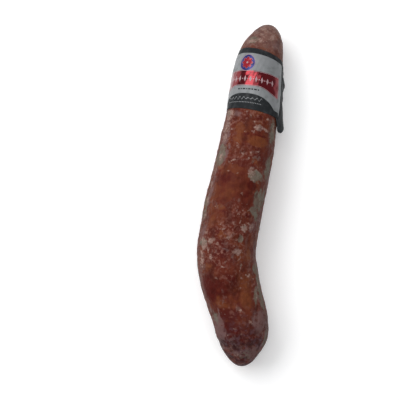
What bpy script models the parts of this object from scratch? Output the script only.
"""A cured sausage in its natural casing, with a printed film label wound round its neck.

The sausage lies on a table, on Z = 0, and points along +Y from its near end to its neck. Its
middle bows towards -X. The casing and the label are first made straight, along X, with the near
pole of the casing at X = 0, and a guide curve then bends both of them alike. The origin is under
the middle of the whole, on the table. Lengths are in metres, and names in _MM hold millimetres.
"""

import math

import bpy
from mathutils import Vector

MM = 0.001

# The filled casing, straight: distance from the near pole, then radius.
CASING_MM = (
    (0.0, 0.0),
    (1.0, 4.8),
    (4.0, 9.2),
    (9.5, 13.6),
    (18.0, 18.4),
    (28.0, 22.0),
    (42.0, 23.0),
    (58.0, 23.5),
    (74.0, 24.7),
    (98.0, 25.0),
    (150.0, 24.7),
    (188.0, 23.7),
    (208.0, 22.5),
    (230.0, 22.6),
    (250.0, 21.6),
    (268.0, 19.8),
    (282.0, 17.0),
    (293.0, 12.4),
    (300.0, 6.6),
    (302.0, 0.0),
)
CASING_STEPS = 3
CASING_SIDES = 32

# The line through the casing's middle: sideways towards +X, distance along +Y, height.
GUIDE_MM = (
    (0.4, 0.0, 18.4),
    (0.2, 18.0, 20.6),
    (-2.6, 36.0, 22.4),
    (-10.4, 58.0, 23.2),
    (-16.8, 78.0, 24.4),
    (-19.2, 96.0, 24.6),
    (-17.4, 124.0, 24.5),
    (-12.4, 158.0, 24.2),
    (-7.8, 192.0, 23.0),
    (-5.4, 216.0, 23.5),
    (-4.5, 244.0, 23.0),
    (-2.8, 264.0, 21.8),
    (1.2, 282.0, 20.4),
    (5.6, 298.0, 18.8),
    (10.4, 314.0, 17.2),
)
GUIDE_STEPS = 8

# The dried ends of the casing, each a short waist with a knob, tucked down under its end.
TAIL_BURIED = 6.0 * MM
TAIL_ROOT_RADIUS = 3.4 * MM
TAIL_WAIST_RADIUS = 1.7 * MM
TAIL_KNOB_RADIUS = 2.3 * MM
TAIL_SIDES = 12
NEAR_TAIL_FROM = 15.0 * MM
NEAR_TAIL_REACH = 13.8 * MM
NEAR_TAIL_LENGTH = 6.5 * MM
NEAR_TAIL_LEAN = math.radians(50)
NECK_TAIL_FROM = 281.0 * MM
NECK_TAIL_REACH = 15.4 * MM
NECK_TAIL_LENGTH = 9.0 * MM
NECK_TAIL_LEAN = math.radians(38)

# The label is a strip of film. Angles go from the top of the neck down its +X side, and the outer
# end stops below the widest place on that side, with its near corner standing off the casing.
LABEL_FROM = 217.0 * MM
LABEL_WIDTH = 53.0 * MM
LABEL_GAP = 0.3 * MM
FILM = 0.3 * MM
LABEL_OUTER_END = math.radians(108)
LABEL_OVERLAP = math.radians(30)
LABEL_SKEW = 1.6 * MM
LAP_RAMP = (math.radians(45), math.radians(74))
PEEL = (math.radians(62), math.radians(108))
CORNER_LIFT = 9.7 * MM
CORNER_DROP = 10.0 * MM
CORNER_DROOP = (math.radians(61), math.radians(73))
CORNER_FALL_OFF = 4.5
CORNER_RADIUS = 11.0 * MM
BUCKLE_LIFT = 2.4 * MM
BUCKLE_AT = 34.0 * MM
BUCKLE_REACH = 7.0 * MM
END_LIFT = 0.3 * MM
LABEL_COLUMNS = 78
LABEL_ROWS = 11
ROW_CROWDING = 1.4

TABLE_BLOCK = (0.3, 0.5, 0.05)

CASING_COLOUR = (0.16, 0.045, 0.028, 1.0)
FILM_COLOUR = (0.03, 0.033, 0.035, 1.0)


def clear_scene():
    for thing in list(bpy.data.objects):
        bpy.data.objects.remove(thing)


def new_collection(name):
    made = bpy.data.collections.new(name)
    bpy.context.scene.collection.children.link(made)
    return made


def new_material(name, colour, roughness, metallic):
    made = bpy.data.materials.new(name)
    made.use_nodes = True
    shader = made.node_tree.nodes["Principled BSDF"]
    shader.inputs["Base Color"].default_value = colour
    shader.inputs["Roughness"].default_value = roughness
    shader.inputs["Metallic"].default_value = metallic
    return made


def new_object(name, data, collection):
    made = bpy.data.objects.new(name, data)
    collection.objects.link(made)
    return made


def move_to(thing, collection):
    """Takes a new primitive out of the collection that it was added to."""
    for home in list(thing.users_collection):
        home.objects.unlink(thing)
    collection.objects.link(thing)


def make_helper(thing):
    """Marks a cutter or a guide, which isn't a piece of the sausage."""
    thing.hide_render = True
    thing.display_type = "WIRE"


def smooth_through(corners, steps):
    """Points on a Catmull-Rom curve through the corners, with so many steps between two of them."""
    points = [Vector(corner) for corner in corners]
    ends = [2 * points[0] - points[1], *points, 2 * points[-1] - points[-2]]
    made = []
    for before, low, high, after in zip(ends, ends[1:], ends[2:], ends[3:]):
        for step in range(steps):
            t = step / steps
            straight = 2 * low + (high - before) * t
            turn = 2 * before - 5 * low + 4 * high - after
            twist = 3 * low - before - 3 * high + after
            made.append(0.5 * (straight + turn * t**2 + twist * t**3))
    return [*made, points[-1]]


def smooth_step(value, limits):
    low, high = limits
    share = min(1.0, max(0.0, (value - low) / (high - low)))
    return share * share * (3 - 2 * share)


CASING_OUTLINE = [point * MM for point in smooth_through(CASING_MM, CASING_STEPS)]


def casing_radius(distance):
    """The straight casing's radius at this distance from its near pole."""
    for low, high in zip(CASING_OUTLINE, CASING_OUTLINE[1:]):
        if low.x <= distance <= high.x:
            return low.y + (high.y - low.y) * (distance - low.x) / (high.x - low.x)
    return 0.0


def turn_round_x(name, outline, sides, collection):
    """A closed solid turned round X, from points that hold a distance and a radius."""
    points = [(distance, 0.0, radius) for distance, radius in outline]
    edges = [(n, n + 1) for n in range(len(points) - 1)]
    mesh = bpy.data.meshes.new(name)
    mesh.from_pydata(points, edges, [])
    made = new_object(name, mesh, collection)
    screw = made.modifiers.new("turn", "SCREW")
    screw.axis = "X"
    screw.steps = sides
    screw.render_steps = sides
    screw.use_merge_vertices = True
    screw.merge_threshold = 0.00002
    return made


def tail(name, origin, reach, length, heading, collection):
    """The dried casing beyond one end. Its surface leaves the filling at reach from origin."""
    outline = (
        (reach - TAIL_BURIED, 0.0),
        (reach - TAIL_BURIED, TAIL_ROOT_RADIUS),
        (reach, TAIL_ROOT_RADIUS * 0.8),
        (reach + 0.3 * length, TAIL_WAIST_RADIUS),
        (reach + 0.55 * length, TAIL_WAIST_RADIUS * 1.1),
        (reach + 0.75 * length, TAIL_KNOB_RADIUS),
        (reach + 0.93 * length, TAIL_KNOB_RADIUS * 0.75),
        (reach + length, 0.0),
    )
    made = turn_round_x(name, outline, TAIL_SIDES, collection)
    made.location.x = origin
    made.rotation_euler.y = heading
    make_helper(made)
    return made


def guide_curve(collection):
    data = bpy.data.curves.new("guide", "CURVE")
    data.dimensions = "3D"
    data.twist_mode = "Z_UP"
    route = smooth_through(GUIDE_MM, GUIDE_STEPS)
    spline = data.splines.new("POLY")
    spline.points.add(len(route) - 1)
    for point, place in zip(spline.points, route):
        point.co = (*(place * MM), 1.0)
    made = new_object("guide", data, collection)
    make_helper(made)
    return made


def combine(thing, other, operation):
    boolean = thing.modifiers.new(other.name, "BOOLEAN")
    boolean.operation = operation
    boolean.solver = "EXACT"
    boolean.object = other


def bend(thing, guide):
    bow = thing.modifiers.new("bow", "CURVE")
    bow.object = guide
    bow.deform_axis = "POS_X"


def table_cutter(collection):
    """The table as a block, which presses a narrow flat on the casing's underside."""
    bpy.ops.mesh.primitive_cube_add(size=1.0, location=(0.0, 0.0, -TABLE_BLOCK[2] / 2))
    made = bpy.context.object
    made.name = "table"
    made.scale = TABLE_BLOCK
    move_to(made, collection)
    make_helper(made)
    return made


def sausage(collection, helpers, guide):
    """The filled casing with its two dried tails, bent, and flattened where it lies."""
    made = turn_round_x("sausage", CASING_OUTLINE, CASING_SIDES, collection)
    near_heading = math.pi - NEAR_TAIL_LEAN
    near = tail("near_tail", NEAR_TAIL_FROM, NEAR_TAIL_REACH, NEAR_TAIL_LENGTH, near_heading, helpers)
    neck = tail(
        "neck_tail", NECK_TAIL_FROM, NECK_TAIL_REACH, NECK_TAIL_LENGTH, NECK_TAIL_LEAN, helpers
    )
    combine(made, near, "UNION")
    combine(made, neck, "UNION")
    bend(made, guide)
    combine(made, table_cutter(helpers), "DIFFERENCE")
    made.data.materials.append(new_material("casing", CASING_COLOUR, 0.55, 0.0))
    return made


def rounded_corner(from_end, from_edge):
    """Moves a point of the flat strip inwards where the strip's free corner is rounded."""
    if from_end >= CORNER_RADIUS or from_edge >= CORNER_RADIUS:
        return from_end, from_edge
    a = 1 - from_end / CORNER_RADIUS
    b = 1 - from_edge / CORNER_RADIUS
    return (
        CORNER_RADIUS * (1 - a * math.sqrt(1 - b * b / 2)),
        CORNER_RADIUS * (1 - b * math.sqrt(1 - a * a / 2)),
    )


def wound(along, across):
    """Where a point of the strip lies: along goes from its inner end, across from its near edge."""
    turn = 2 * math.pi + LABEL_OVERLAP
    neck_radius = casing_radius(LABEL_FROM + LABEL_WIDTH / 2)
    from_end, from_edge = rounded_corner(
        (1 - along) * turn * neck_radius, across**ROW_CROWDING * LABEL_WIDTH
    )
    angle = LABEL_OUTER_END - from_end / neck_radius
    peel = smooth_step(angle, PEEL)
    corner = (1 - from_edge / LABEL_WIDTH) ** CORNER_FALL_OFF
    buckle = math.exp(-(((from_edge - BUCKLE_AT) / BUCKLE_REACH) ** 2))
    droop = CORNER_DROP * corner * smooth_step(angle, CORNER_DROOP)
    distance = LABEL_FROM + from_edge - LABEL_SKEW * math.sin(angle) - droop
    radius = casing_radius(distance) + LABEL_GAP
    radius += (FILM + LABEL_GAP) * smooth_step(angle, LAP_RAMP)
    radius += (END_LIFT + CORNER_LIFT * corner + BUCKLE_LIFT * buckle) * peel
    return distance, -radius * math.sin(angle), radius * math.cos(angle)


def label_band(collection, guide):
    """The film label, as a flat grid that is wound round the neck and given its thickness."""
    bpy.ops.mesh.primitive_grid_add(
        x_subdivisions=LABEL_COLUMNS, y_subdivisions=LABEL_ROWS, size=1.0
    )
    made = bpy.context.object
    made.name = "label_band"
    made.data.name = "label_band"
    for vertex in made.data.vertices:
        vertex.co = wound(vertex.co.x + 0.5, vertex.co.y + 0.5)
    move_to(made, collection)
    film = made.modifiers.new("film", "SOLIDIFY")
    film.thickness = FILM
    film.offset = 1.0
    bend(made, guide)
    made.data.materials.append(new_material("black_film", FILM_COLOUR, 0.4, 0.0))
    return made


def centre_on_origin(guide, pieces):
    """Moves the guide's points over the table, so that the origin is under the pieces' middle."""
    graph = bpy.context.evaluated_depsgraph_get()
    corners = [Vector(corner) for piece in pieces for corner in piece.evaluated_get(graph).bound_box]
    for axis in (0, 1):
        places = [corner[axis] for corner in corners]
        middle = (min(places) + max(places)) / 2
        for point in guide.data.splines[0].points:
            point.co[axis] -= middle


def main():
    clear_scene()
    pieces = new_collection("cured_sausage")
    helpers = new_collection("cutters")
    guide = guide_curve(helpers)
    body = sausage(pieces, helpers, guide)
    label = label_band(pieces, guide)
    centre_on_origin(guide, (body, label))
    for piece in (body, label):
        piece.data.shade_smooth()


main()
